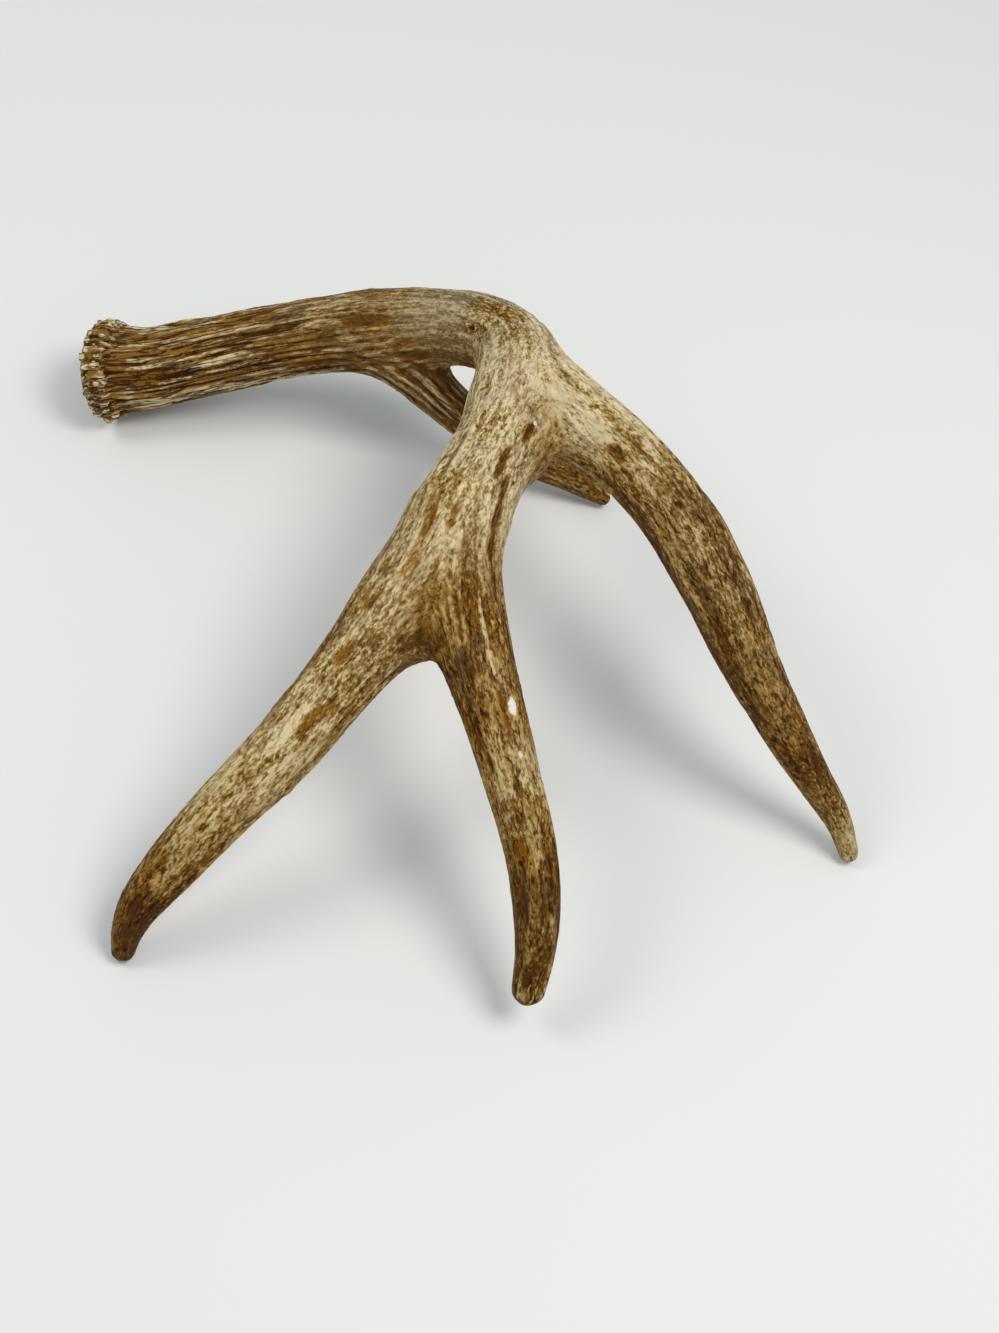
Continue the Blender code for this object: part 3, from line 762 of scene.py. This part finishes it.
def store_fact(mesh, name, values):
    """Keep a number or a vector at each vertex, for the material to read."""
    kind, key = ("FLOAT", "value") if values.ndim == 1 else ("FLOAT_VECTOR", "vector")
    layer = mesh.attributes.new(name, kind, "POINT")
    layer.data.foreach_set(key, values.astype(np.float32).ravel())


def mark_strength(points, ways, marks):
    """How much of a kind of mark covers each point, fading at its edge."""
    cover = np.zeros(len(points))
    for place, length, width, strength in marks:
        offset = points - place
        ahead = (offset * ways).sum(axis=1)
        aside = np.linalg.norm(offset - ahead[:, None] * ways, axis=1)
        share = smoothstep(*MARK_EDGE, np.hypot(ahead / length, aside / width))
        cover = np.maximum(cover, strength * share)
    return cover


def whole_antler(shape):
    """The antler's skin with its relief, and the facts that its material reads."""
    paths = branch_paths()
    webs = fork_webs()
    cell = shape.skin_cell / MILLIMETRE * 1.0
    skin = smooth_skin(paths, webs, cell)
    mark_cuts(skin, paths)
    points = positions(skin)
    _, direction = in_chunks(antler_surface, points, paths, webs)
    grid = GrainGrid(points, paths)
    streaks = grain_streaks(points, grid)
    facts, weights, places = zone_strengths(points, paths, webs)
    wave = ridge_wave(points, weights, places, streaks)
    from_face, aside = onto_shed_face(points.copy(), paths["beam"])
    on_face = (1.0 - smoothstep(0.1, 0.8, from_face)) * (aside < BURR_REACH)
    height = bone_relief(points, streaks, wave, facts, shape) * (1.0 - on_face)
    facts["shed"] = on_face
    ways = grid.at(points)
    for kind, marks in MARKS.items():
        facts[kind] = mark_strength(points, ways, marks)
        height += MARK_HEIGHTS.get(kind, 0.0) * facts[kind]
    del facts["nub"]
    # Dark stains, with the painted shadow at the first tine's root, make the bone browner; rust streaks
    # too.
    facts["brown"] += STAIN_BROWN * facts["stain"] + RUST_BROWN * facts["rust"]
    # Bleached places, and painted light on the lower beam's front edge, make the bone paler.
    facts["pale"] += BLEACH_PALE * facts["bleach"]
    _, forward = burr_place(paths["beam"])
    pits = sum(depth * (1.0 + cloud(points, width, seed)) for width, depth, seed in SHED_FACE_PITS)
    points += height[:, None] * direction
    points += (on_face * pits * smoothstep(*SHED_FACE_PITTED, aside))[:, None] * np.array(forward)
    low, high = (np.array(corner) / MILLIMETRE for corner in CAD_BOX)
    place_vertices(skin, np.clip(points, low, high))
    return skin, facts


def connected_faces(bm):
    """Lists of faces that hang together without crossing a seam."""
    waiting = set(bm.faces)
    while waiting:
        start = min(waiting, key=lambda face: face.index)
        waiting.remove(start)
        piece, border = [], [start]
        while border:
            face = border.pop()
            piece.append(face)
            for edge in face.edges:
                if edge.seam:
                    continue
                for neighbour in edge.link_faces:
                    if neighbour in waiting:
                        waiting.remove(neighbour)
                        border.append(neighbour)
        yield piece


def parted_mesh(name, faces, points, normals, facts, material):
    """One piece of the skin, closed with flat ends, that keeps the whole skin's shading."""
    corners = np.concatenate([[vert.index for vert in face.verts] for face in faces])
    used, renumbered = np.unique(corners, return_inverse=True)
    splits = np.cumsum([len(face.verts) for face in faces])[:-1]
    polygons = [part.tolist() for part in np.split(renumbered, splits)]
    mesh = bpy.data.meshes.new(name)
    mesh.from_pydata(points[used] * MILLIMETRE, [], polygons)
    bm = bmesh.new()
    bm.from_mesh(mesh)
    rims = [edge for edge in bm.edges if edge.is_boundary]
    ends = bmesh.ops.holes_fill(bm, edges=rims, sides=0)["faces"]
    bmesh.ops.triangulate(bm, faces=ends)
    bm.normal_update()
    bm.to_mesh(mesh)
    bm.free()
    for fact, values in facts.items():
        store_fact(mesh, fact, values[used])
    mesh.materials.append(material)
    mesh.shade_smooth()
    shading = [None] * len(mesh.loops)
    for polygon in mesh.polygons:
        flat = polygon.index >= len(polygons)
        for loop in polygon.loop_indices:
            vertex = mesh.loops[loop].vertex_index
            shading[loop] = polygon.normal if flat else normals[used[vertex]]
    mesh.normals_split_custom_set(shading)
    return mesh


def add_node(tree, kind, inputs=(), output=0, **settings):
    """Add a node, set its settings, set or link its inputs, and return one of its outputs."""
    made = tree.nodes.new(kind)
    for name, value in settings.items():
        setattr(made, name, value)
    for key, value in dict(inputs).items():
        if isinstance(value, bpy.types.NodeSocket):
            tree.links.new(value, made.inputs[key])
        else:
            made.inputs[key].default_value = value
    return made.outputs[output] if made.outputs else None


def along_grain(tree, width, length, shift, detail=2.0):
    """Noise drawn out along the grain; where a tine leaves the beam, the two patterns mix."""
    found = []
    for name in ("beam_grain", "tine_grain"):
        place = add_node(tree, "ShaderNodeAttribute", output="Vector", attribute_name=name)
        scaled = add_node(tree, "ShaderNodeMapping", {
            "Vector": place, "Location": (shift, shift, shift),
            "Scale": (1 / width, 1 / width, 1 / length)})
        found.append(add_node(tree, "ShaderNodeTexNoise", {
            "Vector": scaled, "Scale": 1.0, "Detail": detail, "Roughness": 0.55, "Distortion": 0.3}))
    share = add_node(tree, "ShaderNodeAttribute", output="Fac", attribute_name="tine_share")
    return add_node(tree, "ShaderNodeMix", {0: share, 2: found[0], 3: found[1]}, data_type="FLOAT")


def antler_bone(colours):
    """Antler bone, weathered and rubbed.

    Antler is a hard, fine-grained bone: dull where it is weathered, faintly glossy where it is rubbed.
    Its pores and channels run lengthwise and hold brown stain, so its flecks are drawn out along it.
    """
    material = bpy.data.materials.new("antler_bone")
    material.use_nodes = True
    tree = material.node_tree
    tree.nodes.clear()
    facts = {name: add_node(tree, "ShaderNodeAttribute", output="Fac", attribute_name=name)
             for name in FACTS}
    place = add_node(tree, "ShaderNodeTexCoord", output="Object")
    millimetres = add_node(tree, "ShaderNodeMapping", {"Vector": place, "Scale": (1 / MILLIMETRE,) * 3})
    clouds, lumps, grit = (
        add_node(tree, "ShaderNodeTexNoise", {"Vector": millimetres, "Scale": 1 / size, "Detail": 2.0})
        for size in (24.0, 7.0, 1.6))

    # Tone of the bone: pale where it stands proud, stained in its hollows and pores. The stains are
    # patches 16 mm long, dashes 4.5 mm long, mottles 2 mm long and specks 1 mm long, and each kind is
    # a quarter to a half as wide as it is long.
    patches = along_grain(tree, 4.0, 16.0, 3.1)
    dashes = along_grain(tree, 1.5, 4.5, 7.7, 3.0)
    mottles = along_grain(tree, 1.0, 2.0, 12.3, 3.0)
    specks = along_grain(tree, 0.55, 1.0, 21.9)
    tone = TONE_LEVEL
    # The brown fact also brings painted shade: sides, underside, fork crotches, first tine's root.
    for value, weight in (
            (patches, 0.3), (dashes, 1.3), (mottles, 2.2), (specks, 1.2), (clouds, 0.3),
            (facts["strand"], 0.35), (facts["thread"], 0.45),
            (facts["pale"], 0.32), (facts["brown"], -0.26)):
        tone = add_node(tree, "ShaderNodeMath", {0: value, 1: weight, 2: tone}, operation="MULTIPLY_ADD")
    colour = add_node(tree, "ShaderNodeValToRGB", {"Fac": tone})
    stops = colour.node.color_ramp.elements
    stops[0].position, stops[0].color = 0.0, (*colours.stain, 1.0)
    stops[1].position, stops[1].color = 1.0, (*colours.pale, 1.0)
    for position, paint in ((0.2, colours.brown), (0.42, colours.tan), (0.72, colours.cream)):
        stops.new(position).color = (*paint, 1.0)

    # Fine grooves of the ridged bone: long, dark and wavering, 1 to 2 mm apart.
    furrow = along_grain(tree, 2.0, 30.0, 61.0)
    furrow = add_node(tree, "ShaderNodeMath", {0: furrow, 1: -0.5}, operation="ADD")
    furrow = add_node(tree, "ShaderNodeMath", {0: furrow}, operation="ABSOLUTE")
    worn = add_node(tree, "ShaderNodeMath", {0: facts["crest"], 1: facts["ridged"]}, operation="MULTIPLY")

    # Marks have ragged edges that run along the grain.
    streaky = along_grain(tree, 0.9, 3.0, 83.0, 4.0)
    bleach, rust, stain = (
        add_node(tree, "ShaderNodeMath", {0: streaky, 1: 5.0, 2: facts[name]}, operation="MULTIPLY_ADD")
        for name in ("bleach", "rust", "stain"))
    # The chip and the painted glints have grainy edges.
    chip = add_node(tree, "ShaderNodeMath", {0: grit, 1: 2.0, 2: facts["chip"]}, operation="MULTIPLY_ADD")

    # Weathering takes the bone's hue, stains soak in and tint it, and coats cover it: (how it mixes in,
    # what shows it, from, to, what weakens it, how strong it is at most, its colour).
    coats = (
        ("COLOR", clouds, 0.34, 0.6, facts["grey"], 0.85, colours.grey),
        ("MIX", clouds, 0.34, 0.6, facts["grey"], 0.3, colours.grey),
        ("MULTIPLY", facts["brown"], 0.0, 0.8, 1.0, 0.85, colours.amber),
        # The olive tint also darkens the forks' crotches as painted shade.
        ("MULTIPLY", lumps, 0.2, 0.5, facts["olive"], 0.8, colours.olive),
        ("MIX", along_grain(tree, 2.0, 8.0, 31.0, 4.0), 0.5, 0.64, facts["ochre"], 0.7, colours.ochre),
        ("MIX", clouds, 0.0, 0.4, facts["ridged"], 0.72, colours.honey),
        # Bleached bone, and painted light along the lower beam's front edge.
        ("MIX", bleach, 2.9, 3.6, facts["bleach"], 0.9, colours.bleached_and_lit),
        ("MIX", along_grain(tree, 0.7, 4.0, 71.0, 3.0), 0.38, 0.51, worn, 0.92, colours.crest),
        ("MIX", rust, 3.0, 3.7, facts["rust"], 0.85, colours.rust),
        # Dark stains, and painted shadow at the root of the first tine.
        ("MIX", stain, 3.1, 3.8, facts["stain"], 0.85, colours.stain),
        ("MIX", furrow, 0.07, 0.02, facts["ridged"], 0.85, colours.groove),
        ("MIX", facts["deep"], 0.45, 0.85, facts["ridged"], 0.88, colours.groove),
        ("MIX", lumps, 0.3, 0.55, facts["tip"], 0.4, colours.rubbed),
        ("MULTIPLY", along_grain(tree, 1.2, 3.6, 43.0, 3.0), 0.55, 0.63, facts["flecked"], 0.9,
         colours.fleck),
        ("MIX", grit, 0.3, 0.6, facts["shed"], 0.9, colours.seal),
        # Bare bone in the chip, and painted glints.
        ("MIX", chip, 1.5, 1.8, facts["chip"], 1.0, colours.chip),
        ("MIX", facts["pit"], 0.2, 0.8, 1.0, 0.9, colours.groove),
    )
    for blend, shown_by, low, high, weakened_by, most, paint in coats:
        share = add_node(tree, "ShaderNodeMapRange", {
            "Value": shown_by, "From Min": low, "From Max": high, "To Max": most},
            interpolation_type="SMOOTHSTEP")
        share = add_node(tree, "ShaderNodeMath", {0: share, 1: weakened_by}, operation="MULTIPLY")
        colour = add_node(tree, "ShaderNodeMix", {0: share, 6: colour, 7: (*paint, 1.0)}, output=2,
                          data_type="RGBA", blend_type=blend)

    rough = 0.46
    for value, weight in ((facts["tip"], -0.1), (facts["ridged"], 0.16), (lumps, 0.14), (mottles, 0.1)):
        rough = add_node(tree, "ShaderNodeMath", {0: value, 1: weight, 2: rough}, operation="MULTIPLY_ADD")
    fibres = add_node(tree, "ShaderNodeMath", {
        0: mottles, 1: -0.7, 2: along_grain(tree, 0.45, 5.0, 55.0, 3.0)}, operation="MULTIPLY_ADD")
    cut = add_node(tree, "ShaderNodeMapRange", {
        "Value": furrow, "From Max": 0.07, "To Min": -1.2, "To Max": 0.0}, interpolation_type="SMOOTHSTEP")
    height = add_node(tree, "ShaderNodeMath", {
        0: cut, 1: facts["ridged"], 2: fibres}, operation="MULTIPLY_ADD")
    bump = add_node(tree, "ShaderNodeBump", {
        "Height": height, "Strength": 0.7, "Distance": 0.35 * MILLIMETRE})
    shader = add_node(tree, "ShaderNodeBsdfPrincipled", {
        "Base Color": colour, "Roughness": rough, "IOR": BONE_IOR, "Specular IOR Level": 0.05,
        "Metallic": 0.0, "Normal": bump})
    add_node(tree, "ShaderNodeOutputMaterial", {"Surface": shader})
    return material


class ANTLER_OT_skin(bpy.types.Operator):
    """Build the antler's ridged skin, parted into one piece for each solid"""
    bl_idname = "antler.skin"
    bl_label = "Antler"
    bl_options = {"REGISTER", "UNDO"}

    def execute(self, context):
        scene = context.scene
        skin, facts = whole_antler(scene.antler_shape)
        material = antler_bone(scene.antler_colours)
        points, normals = positions(skin), outward_normals(skin)
        bm = bmesh.new()
        bm.from_mesh(skin)
        bm.faces.ensure_lookup_table()
        found = {}
        for faces in connected_faces(bm):
            middle = sum((face.calc_center_median() for face in faces), Vector()) / len(faces)
            name = min(PIECES, key=lambda piece: (middle - Vector(PIECES[piece][0])).length)
            if name in found:
                raise RuntimeError(f"two parts of the skin both lie nearest to {name}")
            found[name] = parted_mesh(name, faces, points, normals, facts, material)
        bm.free()
        bpy.data.meshes.remove(skin)
        if len(found) != len(PIECES):
            raise RuntimeError(f"the skin fell into {sorted(found)}")
        for name, (_, node, slot) in PIECES.items():
            piece = bpy.data.objects.new(name, found[name])
            context.collection.objects.link(piece)
            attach(piece, "root")
            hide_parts(node)
        return {"FINISHED"}


def pearl_places(beam):
    """Where each pearl stands on the rim of the burr, which way it grows and how big it is."""
    centre, forward = burr_place(beam)
    side = forward.orthogonal().normalized()
    across = forward.cross(side)
    along_row, outwards, onwards = PEARL_STRAYS
    places = []
    for row, (back, rise, size) in PEARL_ROWS.items():
        for index in range(PEARL_COUNT):
            # Waves that never repeat in step with the row keep the pearls from looking even.
            step = index + 0.5 * row + along_row * math.sin(5.1 * index + row)
            turn = math.tau * step / PEARL_COUNT
            reach = BURR_RING_RADIUS + rise + outwards * math.sin(2.3 * index + row)
            ahead = back + onwards * math.sin(3.7 * index + 1.0 + 2.0 * row)
            out = side * math.cos(turn) + across * math.sin(turn)
            places.append((centre + out * reach + forward * ahead, out, size))
    return places


def pearl_tree(material):
    """Geometry nodes that set an uneven pearl, longer than wide, on each point."""
    tree = bpy.data.node_groups.new("burr_pearls", "GeometryNodeTree")
    face = tree.interface
    face.new_socket("Rim points", in_out="INPUT", socket_type="NodeSocketGeometry")
    for name, default in (("Pearl size", 2.0 * MILLIMETRE), ("Unevenness", 0.2)):
        face.new_socket(name, in_out="INPUT", socket_type="NodeSocketFloat").default_value = default
    face.new_socket("Seed", in_out="INPUT", socket_type="NodeSocketInt").default_value = 4
    face.new_socket("Pearls", in_out="OUTPUT", socket_type="NodeSocketGeometry")
    given = tree.nodes.new("NodeGroupInput").outputs
    ball = add_node(tree, "GeometryNodeMeshIcoSphere", {"Radius": given["Pearl size"], "Subdivisions": 4})
    low = add_node(tree, "ShaderNodeMath", {0: 1.0, 1: given["Unevenness"]}, operation="SUBTRACT")
    high = add_node(tree, "ShaderNodeMath", {0: 1.0, 1: given["Unevenness"]}, operation="ADD")
    stretch = add_node(tree, "FunctionNodeRandomValue", {
        "Min": low, "Max": high, "Seed": given["Seed"]}, data_type="FLOAT_VECTOR")
    grown = add_node(tree, "GeometryNodeInputNamedAttribute", {"Name": "grown"}, data_type="FLOAT")
    scale = add_node(tree, "ShaderNodeVectorMath", {0: stretch, "Scale": grown}, operation="SCALE")
    pearl = add_node(tree, "GeometryNodeTransform", {"Geometry": ball, "Scale": (0.95, 0.95, 1.1)})
    outwards = add_node(tree, "GeometryNodeInputNamedAttribute", {"Name": "outwards"},
                        data_type="FLOAT_VECTOR")
    turned = add_node(tree, "FunctionNodeAlignRotationToVector", {"Vector": outwards}, axis="Z")
    pearls = add_node(tree, "GeometryNodeInstanceOnPoints", {
        "Points": given["Rim points"], "Instance": pearl, "Rotation": turned, "Scale": scale})
    real = add_node(tree, "GeometryNodeRealizeInstances", {"Geometry": pearls})
    dressed = add_node(tree, "GeometryNodeSetMaterial", {"Geometry": real, "Material": material})
    add_node(tree, "NodeGroupOutput", {"Pearls": dressed})
    return tree


class ANTLER_OT_pearls(bpy.types.Operator):
    """Set the pearls on the rim of the burr"""
    bl_idname = "antler.pearls"
    bl_label = "Burr pearls"
    bl_options = {"REGISTER", "UNDO"}

    def execute(self, context):
        shape = context.scene.antler_shape
        paths = branch_paths()
        places = pearl_places(paths["beam"])
        rim = bpy.data.meshes.new("pearl_rim")
        rim.from_pydata([place * MILLIMETRE for place, _, _ in places], [], [])
        store_fact(rim, "outwards", np.array([out for _, out, _ in places]))
        store_fact(rim, "grown", np.array([size for _, _, size in places]))
        maker = bpy.data.objects.new("pearl_maker", rim)
        context.collection.objects.link(maker)
        modifier = maker.modifiers.new("burr_pearls", "NODES")
        modifier.node_group = pearl_tree(bpy.data.materials["antler_bone"])
        inputs = {item.name: item.identifier for item in modifier.node_group.interface.items_tree
                  if item.in_out == "INPUT"}
        modifier[inputs["Pearl size"]] = shape.pearl_size
        modifier[inputs["Unevenness"]] = shape.pearl_unevenness
        mesh = bpy.data.meshes.new_from_object(maker.evaluated_get(context.evaluated_depsgraph_get()))
        bpy.data.objects.remove(maker)
        self.finish_mesh(mesh, paths)
        pearls = bpy.data.objects.new("burr_pearls", mesh)
        context.collection.objects.link(pearls)
        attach(pearls, "root")
        return {"FINISHED"}

    def finish_mesh(self, mesh, paths):
        """Make the pearls lumpy, keep them inside the solids' box and store the material's facts."""
        points, normals = positions(mesh) / MILLIMETRE, outward_normals(mesh)
        lump = cloud(points, 1.1, 19) + 0.6 * cloud(points, 0.6, 29)
        points += PEARL_LUMPS * lump[:, None] * normals
        onto_shed_face(points, paths["beam"])
        low, high = (np.array(corner) / MILLIMETRE for corner in CAD_BOX)
        points = np.clip(points, low, high)
        place_vertices(mesh, points * MILLIMETRE)
        facts, _, _ = zone_strengths(points, paths, fork_webs())
        ring_distance, _ = burr_ring(points, paths["beam"])
        facts["deep"] = 1.0 - smoothstep(0.0, 0.6, ring_distance)
        facts["crest"] = smoothstep(0.3, 1.1, ring_distance + 0.3 * lump)
        facts["strand"] = facts["thread"] = 0.5 + 0.25 * lump
        facts["ridged"] = np.ones(len(points))
        facts["bleach"] = facts["crest"]
        for fact in ("chip", "pit", "rust", "stain", "shed"):
            facts[fact] = np.zeros(len(points))
        for fact, values in facts.items():
            store_fact(mesh, fact, values)
        mesh.shade_smooth()
        mesh.update()


# The camera stands where the photograph was taken from, and turns to the antler's middle.
CAMERA_PLACE = (-128.7, -363.6, 549.1)
CAMERA_TILT = math.radians(48.7)
AIM_RIGHT, AIM_DOWN = 0.2267, 0.2753

FLOOR_HALF = 1500.0
FLOOR_ROUGHNESS = 0.7
# The lamps are a little warmer than white and the sky is a little cooler.
LAMP_TINT = (1.0, 0.955, 0.915)
SKY_TINT = (0.86, 0.935, 1.0)
# Lamp: (where it hangs, how wide it is, the setting for its power).
LIGHTS = {
    "right_light": ((368.0, -240.0, 1035.0), 520.0, "right_power"),
    "left_light": ((-850.0, 200.0, 1060.0), 500.0, "left_power"),
}
ANTLER_MIDDLE = (0.0, 0.0, 45.0)


class ANTLER_OT_stage(bpy.types.Operator):
    """Lay the floor and set up the lights and the camera"""
    bl_idname = "antler.stage"
    bl_label = "Floor, lights and camera"
    bl_options = {"REGISTER", "UNDO"}

    def execute(self, context):
        settings = context.scene.antler_stage
        self.lay_floor(context, settings)
        self.hang_lights(context, settings)
        self.set_camera(context, settings)
        return {"FINISHED"}

    def lay_floor(self, context, settings):
        half = FLOOR_HALF * MILLIMETRE
        mesh = bpy.data.meshes.new("floor")
        corners = [(-half, -half, 0.0), (half, -half, 0.0), (half, half, 0.0), (-half, half, 0.0)]
        mesh.from_pydata(corners, [], [(0, 1, 2, 3)])
        # Matt paint scatters light evenly, so shadows stay soft and nothing shines.
        material = bpy.data.materials.new("painted_board")
        material.use_nodes = True
        shader = material.node_tree.nodes["Principled BSDF"]
        shader.inputs["Base Color"].default_value = (*settings.floor, 1.0)
        shader.inputs["Roughness"].default_value = FLOOR_ROUGHNESS
        mesh.materials.append(material)
        floor = bpy.data.objects.new("floor", mesh)
        context.collection.objects.link(floor)

    def hang_lights(self, context, settings):
        for name, (place, size, power) in LIGHTS.items():
            data = bpy.data.lights.new(name, "AREA")
            data.shape = "DISK"
            data.size = size * MILLIMETRE
            data.energy = getattr(settings, power)
            data.color = LAMP_TINT
            light = bpy.data.objects.new(name, data)
            light.location = Vector(place) * MILLIMETRE
            towards = Vector(ANTLER_MIDDLE) - Vector(place)
            light.rotation_euler = towards.to_track_quat("-Z", "Y").to_euler()
            context.collection.objects.link(light)
        world = bpy.data.worlds.new("soft_sky")
        world.use_nodes = True
        sky = world.node_tree.nodes["Background"]
        sky.inputs["Color"].default_value = (*SKY_TINT, 1.0)
        sky.inputs["Strength"].default_value = settings.sky_strength
        context.scene.world = world
        context.scene.view_settings.view_transform = "Standard"

    def set_camera(self, context, settings):
        data = bpy.data.cameras.new("camera")
        data.lens = settings.lens / MILLIMETRE
        camera = bpy.data.objects.new("camera", data)
        camera.location = Vector(CAMERA_PLACE) * MILLIMETRE
        tilt = Euler((CAMERA_TILT, 0.0, 0.0)).to_quaternion()
        turn = Vector((0.0, 0.0, -1.0)).rotation_difference(Vector((AIM_RIGHT, -AIM_DOWN, -1.0)))
        camera.rotation_mode = "QUATERNION"
        camera.rotation_quaternion = tilt @ turn
        context.collection.objects.link(camera)
        context.scene.camera = camera


class ANTLER_PT_panel(bpy.types.Panel):
    bl_idname = "ANTLER_PT_panel"
    bl_label = "Antler"
    bl_space_type = "VIEW_3D"
    bl_region_type = "UI"
    bl_category = "Antler"

    def draw(self, context):
        scene = context.scene
        for group in (scene.antler_shape, scene.antler_colours, scene.antler_stage):
            box = self.layout.box()
            for name in group.__annotations__:
                box.prop(group, name)
        self.layout.operator("antler.skin")
        self.layout.operator("antler.pearls")
        self.layout.operator("antler.stage")


GROUPS = {"antler_shape": AntlerShape, "antler_colours": AntlerColours, "antler_stage": AntlerStage}
CLASSES = (*GROUPS.values(), ANTLER_OT_skin, ANTLER_OT_pearls, ANTLER_OT_stage, ANTLER_PT_panel)


def register():
    for kind in CLASSES:
        bpy.utils.register_class(kind)
    for name, group in GROUPS.items():
        setattr(bpy.types.Scene, name, bpy.props.PointerProperty(type=group))


def unregister():
    for name in GROUPS:
        delattr(bpy.types.Scene, name)
    for kind in reversed(CLASSES):
        bpy.utils.unregister_class(kind)


def main():
    register()
    bpy.ops.antler.skin()
    bpy.ops.antler.pearls()
    bpy.ops.antler.stage()


if __name__ == "__main__":
    main()
